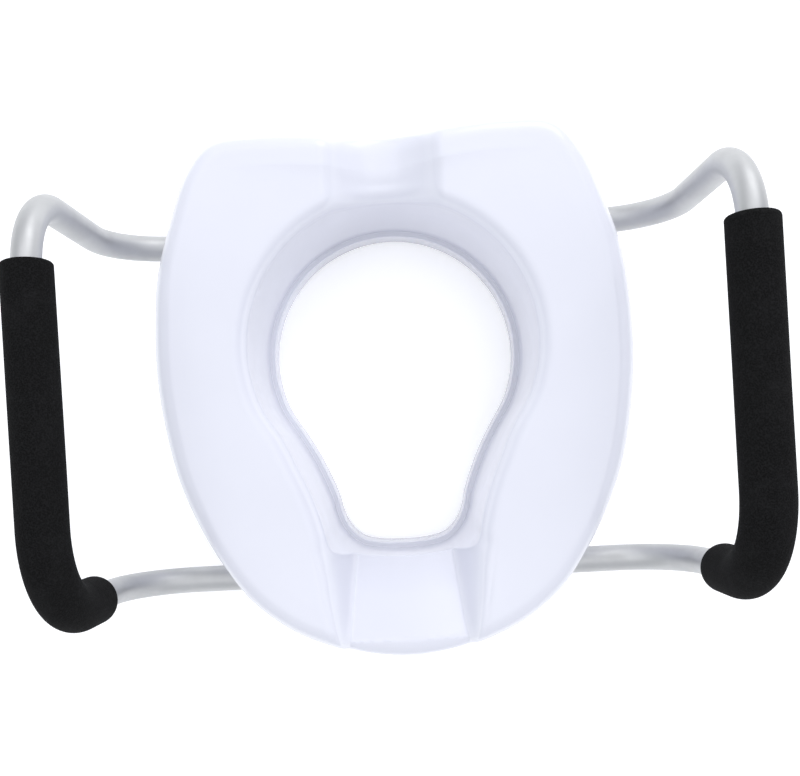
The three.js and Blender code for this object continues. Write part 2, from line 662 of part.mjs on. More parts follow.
function restPad(sideName, endName) {
  const [x, y] = REST_PADS[endName];
  const [halfX, halfY] = REST_PAD_HALF;
  const centre = SIDES[sideName] * x;
  const geometry = box(centre - halfX, centre + halfX, y - halfY, y + halfY, PAD_FOOT, UNDERSIDE - 0.1);
  return finish(geometry, `${sideName}_${endName}_rest_pad`, 0x2c2d2f, 0.9, 0);
}

// ---------------------------------------------------------------- assembly

const seat = new THREE.Group();
seat.add(seatBody());
for (const sideName of Object.keys(SIDES)) {
  seat.add(armTube(sideName), armGrip(sideName));
  for (const endName of Object.keys(SOCKETS)) {
    seat.add(armSocket(sideName, endName));
    seat.add(snapButton(sideName, endName));
    seat.add(snapSpring(sideName, endName));
    seat.add(restPad(sideName, endName));
  }
  seat.add(rearStop(sideName), rearStopPad(sideName));
  STOP_SCREWS_Y.forEach((_, i) => seat.add(stopScrew(sideName, i + 1)));
}
seat.add(clampKnob(), clampScrew(), screwBush(), retainingClip(), clampNut(), clampJaw(), jawPad());

export default seat;
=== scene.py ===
"""Looks of the raised toilet seat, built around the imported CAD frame."""

import math

import bmesh
import bpy
import numpy as np
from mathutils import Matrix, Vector


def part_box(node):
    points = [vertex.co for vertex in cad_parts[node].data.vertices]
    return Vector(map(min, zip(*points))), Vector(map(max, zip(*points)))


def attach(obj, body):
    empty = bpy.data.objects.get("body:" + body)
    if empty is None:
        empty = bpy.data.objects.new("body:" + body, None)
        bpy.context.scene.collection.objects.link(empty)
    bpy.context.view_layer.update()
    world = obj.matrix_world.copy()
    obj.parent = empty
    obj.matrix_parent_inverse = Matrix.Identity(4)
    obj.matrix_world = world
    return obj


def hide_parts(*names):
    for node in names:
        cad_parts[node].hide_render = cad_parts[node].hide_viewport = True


MM = 0.001
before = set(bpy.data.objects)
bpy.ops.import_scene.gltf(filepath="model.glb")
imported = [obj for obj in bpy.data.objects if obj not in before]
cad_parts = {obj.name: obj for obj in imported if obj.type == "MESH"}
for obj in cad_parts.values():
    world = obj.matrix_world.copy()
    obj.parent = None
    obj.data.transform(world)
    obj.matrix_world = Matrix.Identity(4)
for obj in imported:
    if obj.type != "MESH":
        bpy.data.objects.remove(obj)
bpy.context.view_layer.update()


def box_mm(node):
    """The lowest and highest corner of a CAD node, in millimetres."""
    low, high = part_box(node)
    return np.array(low) / MM, np.array(high) / MM


# ------------------------------------------------------------------ sizes, in millimetres

SEAT_LOW, SEAT_HIGH = box_mm("seat_body")
COLLAR_FOOT = SEAT_LOW[2]
SEAT_TOP = SEAT_HIGH[2]
PAD_TOP = box_mm("left_rear_rest_pad")[1][2]
UNDERSIDE = PAD_TOP + 0.1
LEDGE = COLLAR_FOOT + 36
SKIRT_FOOT = SEAT_TOP - 34

SOCKET_BOXES = {end: box_mm(f"left_{end}_arm_socket") for end in ("rear", "front")}
BUTTON_BOXES = {end: box_mm(f"left_{end}_snap_button") for end in ("rear", "front")}
STUB_Y = {end: float((low[1] + high[1]) / 2) for end, (low, high) in SOCKET_BOXES.items()}
STUB_HEIGHT = float((SOCKET_BOXES["rear"][0][2] + SOCKET_BOXES["rear"][1][2]) / 2)
SOCKET_R = float((SOCKET_BOXES["rear"][1][2] - SOCKET_BOXES["rear"][0][2]) / 2)
SOCKET_BORE_R = SOCKET_R - 2
BUTTON_X = {end: float((low[0] + high[0]) / 2) for end, (low, high) in BUTTON_BOXES.items()}
BUTTON_R = 3.8
TUBE_R = 11.1
TUBE_WALL = 1.5
GRIP_R = 19.3
ARM_HEIGHT = STUB_HEIGHT + 197

# Corners of the arm tube's centre-line on the +X side, each with its bend radius
ARM_CORNERS = [
    (105, 139.5, STUB_HEIGHT, 0),
    (242.3, 139.5, STUB_HEIGHT, 61),
    (255.4, 156, ARM_HEIGHT, 52),
    (253.8, -150.5, ARM_HEIGHT, 66.6),
    (242.3, -155, STUB_HEIGHT, 63),
    (66, -155, STUB_HEIGHT, 0),
]
GRIP_FROM = 337
GRIP_TO_END = 251.5

# Outlines of the hole and the rim: the +X half, from the rear centre to the front centre
HOLE_LOW = {"radius": 111.2, "centre_y": 35.3, "front": [
    (77.5, -51), (67, -74), (59.6, -94), (56.5, -107), (50.5, -121), (39, -132.5), (24, -137), (0, -138.5)]}
HOLE_TOP = {"radius": 122.5, "centre_y": 40.5, "front": [
    (86, -58), (76.5, -80), (70, -99), (66, -114), (62, -130), (50, -142), (27, -145), (0, -145.5)]}
RIM = [
    (0, 217), (104, 223.3), (144.5, 218.6), (165.8, 195.1), (182.5, 152.7), (195, 110.3), (199.5, 70),
    (200.3, 25), (195.6, -20.3), (185.7, -66.5), (169.6, -107.7), (151.8, -140), (129.5, -170),
    (96, -196.4), (62.4, -211.4), (38, -219), (0, -223.3)]
# The rear of the hole is a circular arc, in degrees from +X
ARC_POINTS, ARC_FROM, ARC_TO = 9, 90, -38
# Stations between matched points, from the rear centre to the front centre: closer at the cut-outs
HALF_STATIONS = [40, 24, *[14] * 10, 36, 36, 30, 18]

# The front cut-out's sides climb from a foot line to a top line, and the rear one is a shallow trough
FRONT_CUT = {"inner_y": -143, "inner_floor": 82, "outer_y": -209, "outer_floor": 130,
             "fillet": 5, "fade_from": -132, "fade": 0.03}
FRONT_FOOT = {"half": 40.5, "flare": -0.108, "from_y": -135}
FRONT_TOP = {"half": 62.5, "flare": 0.2, "from_y": -203}
REAR_CUT = {"inner_y": 166, "inner_floor": 121, "outer_y": 215, "outer_floor": 124,
            "half": 47, "fade_from": 130, "fade": 2}
CUT_BLEND = 6

# Heights up the moulding's section, and offsets in plan from the hole's outline and from the rim
LEDGE_LIP = LEDGE + 1.5
WALL_TOP = 129
CREST = 144.5
SHOULDER = 147.6
RIM_TOP, RIM_FOOT = 133, 121
SKIRT_TOP, SKIRT_BEND = 111, 104
WALL_OFFSET, CREST_OFFSET, SHOULDER_OFFSET = 4.5, 14, 28
UNDER_INNER, UNDER_OUTER = 9.5, 31

SIDES = {"left": 1, "right": -1}


# ------------------------------------------------------------------ mesh helpers

def mesh_object(name, points_mm, faces):
    """A smooth-shaded object from points in millimetres and faces, joined to the scene."""
    mesh = bpy.data.meshes.new(name)
    mesh.from_pydata((np.asarray(points_mm, float) * MM).tolist(), [], [list(face) for face in faces])
    mesh.update()
    obj = bpy.data.objects.new(name, mesh)
    bpy.context.collection.objects.link(obj)
    mesh.shade_smooth()
    return obj


def loft(name, rings, closed=False):
    """A solid through rings of equally many points: capped, or with the last ring joined to the first."""
    rings = np.asarray(rings, float)
    count, sides, _ = rings.shape
    faces = []
    for r in range(count if closed else count - 1):
        for i in range(sides):
            j, n = (i + 1) % sides, (r + 1) % count
            faces.append((r * sides + i, r * sides + j, n * sides + j, n * sides + i))
    if not closed:
        faces.append(tuple(reversed(range(sides))))
        faces.append(tuple(range((count - 1) * sides, count * sides)))
    obj = mesh_object(name, rings.reshape(-1, 3), faces)
    tidy_normals(obj)
    return obj


def tidy_normals(obj):
    """Merges coinciding points and turns the faces outwards."""
    edit = bmesh.new()
    edit.from_mesh(obj.data)
    bmesh.ops.remove_doubles(edit, verts=edit.verts, dist=1e-7)
    bmesh.ops.recalc_face_normals(edit, faces=edit.faces)
    edit.to_mesh(obj.data)
    edit.free()
    obj.data.update()


# Each axis with the two that follow it
AXES = {"x": (0, 1, 2), "y": (1, 2, 0), "z": (2, 0, 1)}


def turned(name, axis, profile, place, sides=48, closed=False):
    """A turned solid. The profile holds (radius, distance along the axis); place is where the axis stands."""
    along, first, second = AXES[axis]
    angles = np.linspace(0, 2 * math.pi, sides, endpoint=False)
    rings = []
    for radius, distance in profile:
        ring = np.zeros((sides, 3))
        ring[:, along] = distance
        ring[:, first] = place[first] + radius * np.cos(angles)
        ring[:, second] = place[second] + radius * np.sin(angles)
        rings.append(ring)
    return loft(name, rings, closed=closed)


def block(name, low, high, bevel=0.0):
    """A box between two corners, with rounded edges where a bevel is given."""
    edit = bmesh.new()
    bmesh.ops.create_cube(edit, size=1)
    low, high = np.array(low, float) * MM, np.array(high, float) * MM
    for vert in edit.verts:
        vert.co = Vector((low + high) / 2 + np.array(vert.co) * (high - low))
    if bevel:
        bmesh.ops.bevel(edit, geom=edit.edges[:], offset=bevel * MM, segments=3, profile=0.5, affect="EDGES")
    mesh = bpy.data.meshes.new(name)
    edit.to_mesh(mesh)
    edit.free()
    obj = bpy.data.objects.new(name, mesh)
    bpy.context.collection.objects.link(obj)
    return obj


def apply_modifiers(obj):
    graph = bpy.context.evaluated_depsgraph_get()
    mesh = bpy.data.meshes.new_from_object(obj.evaluated_get(graph))
    obj.modifiers.clear()
    old, obj.data = obj.data, mesh
    bpy.data.meshes.remove(old)


def combine(obj, others, operation="DIFFERENCE"):
    """Cuts the others out of obj, or joins them to it, and removes them."""
    for other in others:
        modifier = obj.modifiers.new("cut", "BOOLEAN")
        modifier.operation = operation
        modifier.object = other
        modifier.solver = "EXACT"
    apply_modifiers(obj)
    for other in others:
        bpy.data.objects.remove(other)


def smooth_by_angle(obj, angle):
    """Smooth shading, with an edge kept sharp where its faces meet at more than the angle in degrees."""
    obj.data.shade_smooth()
    edit = bmesh.new()
    edit.from_mesh(obj.data)
    for edge in edit.edges:
        if len(edge.link_faces) == 2:
            edge.smooth = edge.calc_face_angle(0) < math.radians(angle)
    edit.to_mesh(obj.data)
    edit.free()


def rounded(obj, width, segments, angle):
    """Rounds the edges of a piece that are sharper than the angle in degrees, and shades it."""
    bevel = obj.modifiers.new("round", "BEVEL")
    bevel.width = width * MM
    bevel.segments = segments
    bevel.limit_method = "ANGLE"
    bevel.angle_limit = math.radians(angle)
    apply_modifiers(obj)
    smooth_by_angle(obj, 40)


def arc(centre, radius, start, end, count):
    """Points on a circular arc, in degrees."""
    angles = np.radians(np.linspace(start, end, count))
    return [(centre[0] + radius * math.cos(a), centre[1] + radius * math.sin(a)) for a in angles]


def extruded(name, axis, outline, start, end):
    """A prism: the outline holds the other two coordinates, in the order in which the axes follow `axis`."""
    along, first, second = AXES[axis]
    rings = []
    for distance in (start, end):
        ring = np.zeros((len(outline), 3))
        ring[:, along] = distance
        ring[:, [first, second]] = outline
        rings.append(ring)
    return loft(name, rings)


def finish_piece(obj, body, material, node):
    """Gives a piece its material and its body, and hides the CAD node that it stands for."""
    obj.data.materials.clear()
    obj.data.materials.append(material)
    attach(obj, body)
    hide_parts(node)


# ------------------------------------------------------------------ materials

# Sockets of a Mix node in its colour mode
MIX_SHARE, MIX_FIRST, MIX_SECOND, MIX_RESULT = 0, 6, 7, 2


class Shader:
    """A principled material and a short way to add nodes to it."""

    def __init__(self, name, **sockets):
        self.material = bpy.data.materials.new(name)
        self.material.use_nodes = True
        self.tree = self.material.node_tree
        self.surface = self.tree.nodes["Principled BSDF"]
        self.object_space = self.add("ShaderNodeTexCoord").outputs["Object"]
        for socket, value in sockets.items():
            self.surface.inputs[socket].default_value = value

    def add(self, kind, **values):
        node = self.tree.nodes.new(kind)
        for key, value in values.items():
            setattr(node, key, value)
        return node

    def link(self, source, target):
        self.tree.links.new(source, target)

    def stretched(self, scale):
        """Object space scaled by a different amount along each axis."""
        mapping = self.add("ShaderNodeMapping")
        mapping.inputs["Scale"].default_value = scale
        self.link(self.object_space, mapping.inputs["Vector"])
        return mapping.outputs["Vector"]

    def noise(self, scale, detail=3.0, roughness=0.5, vector=None):
        node = self.add("ShaderNodeTexNoise")
        node.inputs["Scale"].default_value = scale
        node.inputs["Detail"].default_value = detail
        node.inputs["Roughness"].default_value = roughness
        self.link(vector or self.object_space, node.inputs["Vector"])
        return node.outputs["Fac"]

    def ramp(self, value, *stops):
        """A colour ramp; each stop is (position, colour or grey)."""
        node = self.add("ShaderNodeValToRGB")
        elements = node.color_ramp.elements
        while len(elements) < len(stops):
            elements.new(0.5)
        for element, (position, colour) in zip(elements, stops):
            element.position = position
            element.color = (*colour, 1) if isinstance(colour, tuple) else (colour, colour, colour, 1)
        self.link(value, node.inputs["Fac"])
        return node.outputs["Color"]

    def span(self, value, low, high, socket):
        """Feeds a socket with a noise value spread over low to high."""
        node = self.add("ShaderNodeMapRange")
        node.inputs["From Min"].default_value = 0.3
        node.inputs["From Max"].default_value = 0.7
        node.inputs["To Min"].default_value = low
        node.inputs["To Max"].default_value = high
        self.link(value, node.inputs["Value"])
        self.link(node.outputs["Result"], self.surface.inputs[socket])

    def mixed(self, share, first, second, blend="MIX"):
        """Blends two colours; each argument is a socket or a plain value."""
        node = self.add("ShaderNodeMix", data_type="RGBA", blend_type=blend)
        for source, socket in ((share, MIX_SHARE), (first, MIX_FIRST), (second, MIX_SECOND)):
            if isinstance(source, (int, float)):
                node.inputs[socket].default_value = source
            elif isinstance(source, tuple):
                node.inputs[socket].default_value = (*source, 1)
            else:
                self.link(source, node.inputs[socket])
        return node.outputs[MIX_RESULT]

    def bump(self, height, distance, strength, under=None):
        """Bumps up to a distance in millimetres, over another bump where one is given."""
        node = self.add("ShaderNodeBump")
        node.inputs["Distance"].default_value = distance * MM
        node.inputs["Strength"].default_value = strength
        self.link(height, node.inputs["Height"])
        if under is not None:
            self.link(under, node.inputs["Normal"])
        self.link(node.outputs["Normal"], self.surface.inputs["Normal"])
        return node.outputs["Normal"]

    def colour(self, source):
        self.link(source, self.surface.inputs["Base Color"])


def painted_hole_shade(m, colour):
    """Painted shade: deepens a colour low in the moulding, where shade falls inside the hole, except far out
    on the -X side.
    """
    split = m.add("ShaderNodeSeparateXYZ")
    m.link(m.object_space, split.inputs["Vector"])
    # Painted shade by height: the colour darkens towards the foot of the collar.
    painted_shade_by_height = m.ramp(split.outputs["Z"], (0.0, 0.62), (0.014, 0.74), (0.03, 0.82), (0.105, 1.0))
    # The painted shade fades out towards the -X side.
    side = m.add("ShaderNodeMapRange")
    side.inputs["From Min"].default_value = -0.1
    side.inputs["From Max"].default_value = -0.05
    m.link(split.outputs["X"], side.inputs["Value"])
    return m.mixed(side.outputs["Result"], colour, m.mixed(1.0, colour, painted_shade_by_height, "MULTIPLY"))


def painted_slope_light(m):
    """Share of painted light: one on the slopes of the moulding, falling to nothing where it is level or
    upright.
    """
    split = m.add("ShaderNodeSeparateXYZ")
    m.link(m.add("ShaderNodeTexCoord").outputs["Normal"], split.inputs["Vector"])
    return m.ramp(split.outputs["Z"], (0.3, 0.0), (0.42, 1.0), (0.62, 1.0), (0.78, 0.0))


def seat_plastic():
    """Glossy white moulded plastic with a cool tint, a faint flow mottle and a few hairline scuffs, with
    painted light on its slopes and painted shade low in the hole.
    """
    m = Shader("seat_plastic", Roughness=0.2, **{"Specular IOR Level": 0.5, "Coat Weight": 0.2})
    m.surface.inputs["Coat Roughness"].default_value = 0.1
    mottle = m.ramp(m.noise(7, 4, 0.55), (0.35, (0.775, 0.785, 0.87)), (0.65, (0.795, 0.805, 0.89)))
    scratch = m.noise(90, 5, 0.7, m.stretched((0.25, 1.6, 1)))
    scuffs = m.ramp(scratch, (0.66, 0.0), (0.74, 0.25))
    skin_colour = m.mixed(scuffs, mottle, (0.72, 0.73, 0.81))
    # The paler colour is painted light on the slopes, and the result is darkened by painted shade low in the
    # hole.
    m.colour(painted_hole_shade(m, m.mixed(painted_slope_light(m), skin_colour, (0.88, 0.89, 0.96))))
    m.span(m.noise(30, 4, 0.6), 0.17, 0.25, "Roughness")
    skin = m.bump(m.noise(160, 2, 0.5), 0.01, 0.3)
    m.bump(m.noise(6, 2, 0.5), 0.3, 0.15, skin)
    return m.material


def fitting_plastic():
    """Slightly grey, matt moulded plastic."""
    m = Shader("fitting_plastic", Roughness=0.42)
    m.colour(m.ramp(m.noise(40, 4), (0.3, (0.70, 0.71, 0.74)), (0.7, (0.77, 0.78, 0.81))))
    m.span(m.noise(90, 3), 0.36, 0.5, "Roughness")
    m.bump(m.noise(900, 2), 0.03, 0.5)
    return m.material


def arm_aluminium():
    """Satin anodised tube with a fine grain."""
    m = Shader("arm_aluminium", Metallic=1.0)
    m.colour(m.ramp(m.noise(24, 4, 0.6), (0.3, (0.52, 0.525, 0.53)), (0.7, (0.58, 0.585, 0.59))))
    m.span(m.noise(70, 5, 0.6), 0.44, 0.54, "Roughness")
    m.bump(m.noise(1400, 2, 0.5), 0.012, 0.5)
    return m.material


def grip_foam():
    """Closed-cell black foam: a fine open grain over a softer unevenness."""
    m = Shader("grip_foam", Roughness=0.95, **{"Specular IOR Level": 0.08})
    cells = m.add("ShaderNodeTexVoronoi")
    cells.inputs["Scale"].default_value = 900
    m.link(m.object_space, cells.inputs["Vector"])
    grain = m.ramp(cells.outputs["Distance"], (0.1, (0.003, 0.003, 0.003)), (0.8, (0.012, 0.012, 0.0125)))
    worn = m.ramp(m.noise(45, 6, 0.65), (0.5, 0.0), (0.8, 0.35))
    m.colour(m.mixed(worn, grain, (0.022, 0.022, 0.023)))
    cell_bump = m.bump(cells.outputs["Distance"], 0.25, 0.9)
    m.bump(m.noise(160, 4, 0.6), 0.5, 0.35, cell_bump)
    return m.material


def pad_rubber():
    """Dull black rubber."""
    m = Shader("pad_rubber", Roughness=0.8, **{"Specular IOR Level": 0.35})
    m.colour(m.ramp(m.noise(120, 5), (0.3, (0.012, 0.012, 0.013)), (0.75, (0.032, 0.032, 0.034))))
    m.span(m.noise(60, 4), 0.68, 0.9, "Roughness")
    m.bump(m.noise(800, 2), 0.05, 0.6)
    return m.material


def knob_plastic():
    """Charcoal plastic with a spark-eroded grain."""
    m = Shader("knob_plastic", Roughness=0.5)
    m.colour(m.ramp(m.noise(80, 4), (0.3, (0.018, 0.019, 0.022)), (0.75, (0.034, 0.035, 0.04))))
    m.span(m.noise(50, 4), 0.42, 0.6, "Roughness")
    m.bump(m.noise(1300, 2), 0.06, 0.7)
    return m.material


def bright_steel(name, base, rough):
    """Rolled steel, with a grain that is finest along Y."""
    m = Shader(name, Metallic=1.0)
    dark = tuple(0.86 * c for c in base)
    m.colour(m.ramp(m.noise(150, 5, 0.6), (0.3, dark), (0.7, base)))
    m.span(m.noise(220, 4), rough, rough + 0.14, "Roughness")
    m.bump(m.noise(700, 3, 0.5, m.stretched((1, 6, 1))), 0.02, 0.5)
    return m.material


PLASTIC = seat_plastic()
FITTING = fitting_plastic()
ALUMINIUM = arm_aluminium()
FOAM = grip_foam()
RUBBER = pad_rubber()
KNOB = knob_plastic()
STEEL = bright_steel("bracket_steel", (0.62, 0.63, 0.64), 0.3)
SPRING = bright_steel("spring_steel", (0.68, 0.69, 0.70), 0.2)


# ------------------------------------------------------------------ seat moulding

def closed_spline(half):
    """The centripetal Catmull-Rom curve that the CAD outline uses, through a mirrored half outline."""
    half = np.array(half, float)
    left = half[1:-1][::-1] * (-1, 1)
    points = np.vstack([half, left])
    count = len(points)

    def at(t):
        place = (np.asarray(t) % 1) * count
        i = np.floor(place).astype(int)
        w = (place - i)[:, None]
        p0, p1, p2, p3 = (points[(i + k) % count] for k in (-1, 0, 1, 2))
        pairs = ((p0, p1), (p1, p2), (p2, p3))
        d0, d1, d2 = (np.sqrt(np.linalg.norm(b - a, axis=1))[:, None] for a, b in pairs)
        m1 = ((p1 - p0) / d0 - (p2 - p0) / (d0 + d1) + (p2 - p1) / d1) * d1
        m2 = ((p2 - p1) / d1 - (p3 - p1) / (d1 + d2) + (p3 - p2) / d2) * d1
        return p1 + m1 * w + (3 * (p2 - p1) - 2 * m1 - m2) * w**2 + (2 * (p1 - p2) + m1 + m2) * w**3

    return at


def hole_spline(hole):
    rear = arc((0, hole["centre_y"]), hole["radius"], ARC_FROM, ARC_TO, ARC_POINTS)
    return closed_spline(rear + hole["front"])


INTERVALS = [*HALF_STATIONS, *HALF_STATIONS[::-1]]
T = np.concatenate([(k + np.arange(count) / count) / len(INTERVALS) for k, count in enumerate(INTERVALS)])
LOW, TOP, EDGE = hole_spline(HOLE_LOW), hole_spline(HOLE_TOP), closed_spline(RIM)


def outward(curve):
    """Each station's unit normal, pointing away from the middle of the outline."""
    tangent = curve(T + 1e-3) - curve(T - 1e-3)
    tangent /= np.linalg.norm(tangent, axis=1)[:, None]
    return np.stack([-tangent[:, 1], tangent[:, 0]], 1)


LOW_AT, TOP_AT, EDGE_AT = LOW(T), TOP(T), EDGE(T)
LOW_OUT, TOP_OUT, EDGE_OUT = outward(LOW), outward(TOP), outward(EDGE)


# Plan points of a ring: offset from the hole's lower outline, its upper outline or the rim, in that order,
# and then shares of the way up the hole's wall, across the seat's top and back under it

def low(offset):
    return LOW_AT + LOW_OUT * offset


def top(offset):
    return TOP_AT + TOP_OUT * offset


def edge(offset):
    return EDGE_AT - EDGE_OUT * offset


def wall(share):
    return low(WALL_OFFSET) * (1 - share) + top(0) * share


def across(share):
    return top(CREST_OFFSET) * (1 - share) + edge(SHOULDER_OFFSET) * share


def under(share):
    return edge(UNDER_OUTER) * (1 - share) + low(UNDER_INNER) * share


def smooth_min(a, b, blend):
    """The smaller of two heights, with the corner between them rounded."""
    h = np.maximum(blend - np.abs(a - b), 0) / blend
    return np.minimum(a, b) - h * h * blend / 4


def floor_height(cut, y):
    """Height of a cut-out's floor, which climbs from the hole to the rim."""
    share = np.clip((y - cut["inner_y"]) / (cut["outer_y"] - cut["inner_y"]), -0.3, 1)
    return cut["inner_floor"] + (cut["outer_floor"] - cut["inner_floor"]) * share


def flared(line, y):
    """Distance of a slanted line from the middle of a cut-out."""
    return line["half"] + line["flare"] * (y - line["from_y"])


def climb(distance, fillet):
    """A distance past a line, eased in over a fillet."""
    return np.hypot(np.maximum(distance, 0), fillet) - fillet


def front_cut_height(out, y):
    """Height of the front cut-out at a distance `out` from its middle: a floor, then sides that roll over."""
    floor, foot, upper = floor_height(FRONT_CUT, y), flared(FRONT_FOOT, y), flared(FRONT_TOP, y)
    share = np.minimum(climb(out - foot, FRONT_CUT["fillet"]) / climb(upper - foot, FRONT_CUT["fillet"]), 1)
    past = np.maximum(out - upper, 0) + FRONT_CUT["fade"] * np.maximum(y - FRONT_CUT["fade_from"], 0) ** 2
    return floor + (SEAT_TOP - floor) * np.sin(share * math.pi / 2) + past


def rear_cut_height(out, y):
    """Height of the rear cut-out, a parabola across the seat."""
    floor = floor_height(REAR_CUT, y)
    past = REAR_CUT["fade"] * np.maximum(REAR_CUT["fade_from"] - y, 0)
    return floor + (SEAT_TOP - floor) * (out / REAR_CUT["half"]) ** 2 + past


def cut_height(x, y):
    """Height of the two cut-outs over plan points: above the seat top where there is no cut-out."""
    out = np.abs(x)
    return np.where(y < 0, front_cut_height(out, y), rear_cut_height(out, y))


def squeezed(z, base, local_top):
    """A height squeezed down towards its base, so that the seat's top comes to the local top."""
    return base + (z - base) * (local_top - base) / (SEAT_TOP - base)


def ring(plan, z, cut=0.0, rim=0.0):
    """One ring of the moulding. cut and rim say how far its height follows the cut-outs, and in which way:
    a cut ring is clipped at the front and squeezed down at the rear, a rim ring is squeezed everywhere."""
    x, y = plan[:, 0], plan[:, 1]
    surface = cut_height(x, y)
    local_top = smooth_min(SEAT_TOP, surface, CUT_BLEND)
    lowered = np.where(y < 0, smooth_min(z, surface, CUT_BLEND), squeezed(z, LEDGE_LIP, local_top))
    height = z + cut * (lowered - z) + rim * (squeezed(z, SKIRT_FOOT - 2, local_top) - z)
    return np.stack([x, y, height], 1)


def steps(count):
    """Equal shares from 0, short of 1."""
    return np.arange(count) / count


def quarter(start, end, count, turn_first):
    """Points of a quarter ellipse: it leaves upright when turn_first is False, level when it is True."""
    for s in steps(count):
        angle = s * math.pi / 2
        a, b = 1 - math.cos(angle), math.sin(angle)
        along_offset, along_z = (b, a) if turn_first else (a, b)
        yield start[0] + (end[0] - start[0]) * along_offset, start[1] + (end[1] - start[1]) * along_z


def straight(start, end, count):
    """Points of a straight stretch, short of its end."""
    for s in steps(count):
        yield start[0] + (end[0] - start[0]) * s, start[1] + (end[1] - start[1]) * s


def seat_rings():
    """The section from the foot of the collar, up the hole, over the top, down the outside and back."""
    rings = []
    foot = COLLAR_FOOT
    for offset, z in [*quarter((2, foot), (0, foot + 2), 4, True),
                      *straight((0, foot + 2), (0, LEDGE - 3), 4),
                      *quarter((0, LEDGE - 3), (1.5, LEDGE - 1.2), 4, False),
                      *straight((1.5, LEDGE - 1.2), (3.3, LEDGE - 0.8), 2),
                      *quarter((3.3, LEDGE - 0.8), (4.6, LEDGE_LIP), 4, True)]:
        rings.append(ring(low(offset), z))
    for s in steps(30):
        rings.append(ring(wall(s), LEDGE_LIP + (WALL_TOP - LEDGE_LIP) * s, cut=1))
    for offset, z in quarter((0, WALL_TOP), (CREST_OFFSET, CREST), 10, False):
        rings.append(ring(top(offset), z, cut=1))
    for s in steps(28):
        rim = s * s * (3 - 2 * s)
        rings.append(ring(across(s), CREST + (SHOULDER - CREST) * s, cut=1 - rim, rim=rim))
    outside = [*straight((SHOULDER_OFFSET, SHOULDER), (15, SEAT_TOP), 5),
               *quarter((15, SEAT_TOP), (0, RIM_TOP), 12, True),
               *straight((0, RIM_TOP), (0, RIM_FOOT), 3),
               *quarter((0, RIM_FOOT), (8, SKIRT_FOOT), 7, False)]
    for offset, z in outside:
        rings.append(ring(edge(offset), z, rim=1))
    skirt = [*straight((8, SKIRT_FOOT), (19, SKIRT_TOP), 3),
             *quarter((19, SKIRT_TOP), (24.8, SKIRT_BEND), 6, True)]
    for k, (offset, z) in enumerate(skirt):
        rings.append(ring(edge(offset), z, rim=1 - k / len(skirt)))
    for offset, z in [*straight((24.8, SKIRT_BEND), (27.3, UNDERSIDE + 6), 8),
                      *quarter((27.3, UNDERSIDE + 6), (UNDER_OUTER, UNDERSIDE), 6, False)]:
        rings.append(ring(edge(offset), z))
    for s in steps(4):
        rings.append(ring(under(s), UNDERSIDE))
    for offset, z in [*quarter((UNDER_INNER, UNDERSIDE), (5, UNDERSIDE - 4), 5, True),
                      *straight((5, UNDERSIDE - 4), (4, foot + 2), 4),
                      *quarter((4, foot + 2), (2, foot), 4, False)]:
        rings.append(ring(low(offset), z))
    return rings


CLEARANCE = 0.3  # the gap between pieces that touch


def socket_cutters():
    """Rods that make way for the four arm sockets."""
    cutters = []
    for side, sign in SIDES.items():
        for end, (low_corner, high_corner) in SOCKET_BOXES.items():
            ends = sorted((sign * (low_corner[0] - CLEARANCE), sign * (high_corner[0] + 20)))
            radius = SOCKET_R + CLEARANCE
            profile = [(radius, ends[0]), (radius, ends[1])]
            place = (0, STUB_Y[end], STUB_HEIGHT)
            cutters.append(turned(f"socket_cut_{side}_{end}", "x", profile, place, 64))
    return cutters


SCREW_LOW, SCREW_HIGH = box_mm("clamp_screw")
SCREW_Z = float((SCREW_LOW[2] + SCREW_HIGH[2]) / 2)
BUSH_LOW, BUSH_HIGH = box_mm("screw_bush")
JAW_LOW, JAW_HIGH = box_mm("clamp_jaw")
POCKET_LOW = (JAW_LOW[0] - 0.6, BUSH_HIGH[1] + CLEARANCE, UNDERSIDE - 8)
POCKET_HIGH = (JAW_HIGH[0] + 0.6, JAW_HIGH[1] + 4, JAW_HIGH[2] + 3)


def seat_shell():
    """The moulding, with its screw nose, sockets, jaw pocket, vent and the rear stops' recesses."""
    shell = loft("seat_shell", seat_rings(), closed=True)
    nose_face = BUSH_LOW[1] + 2.3
    nose = turned("nose", "y", [(12.8, nose_face), (14, nose_face + 1.2), (14.6, nose_face + 9)],
                  (0, 0, SCREW_Z), 64)
    combine(shell, [nose], "UNION")
    cutters = socket_cutters()
    cutters.append(block("pocket", POCKET_LOW, POCKET_HIGH))
    cutters.append(turned("bush_cut", "y", [(7.3, nose_face - 2), (7.3, POCKET_LOW[1] + 1)], (0, 0, SCREW_Z)))
    cutters.append(turned("vent", "z", [(4, UNDERSIDE - 2), (4, UNDERSIDE + 8)], (0, 172, 0), 32))
    for side in SIDES:
        low_corner, high_corner = box_mm(f"{side}_rear_stop")
        start = low_corner - CLEARANCE
        start[2] = UNDERSIDE - 4
        cutters.append(block(f"stop_recess_{side}", start, high_corner + CLEARANCE))
        for number in (1, 2):
            screw_low, screw_high = box_mm(f"{side}_rear_stop_screw_{number}")
            x, y = (screw_low[:2] + screw_high[:2]) / 2
            cutters.append(turned("screw_hole", "z", [(2, UNDERSIDE), (2, UNDERSIDE + 11.5)], (x, y, 0), 24))
    combine(shell, cutters)
    tidy_normals(shell)
    smooth_by_angle(shell, 32)
    finish_piece(shell, "seat", PLASTIC, "seat_body")


seat_shell()


# ------------------------------------------------------------------ arms

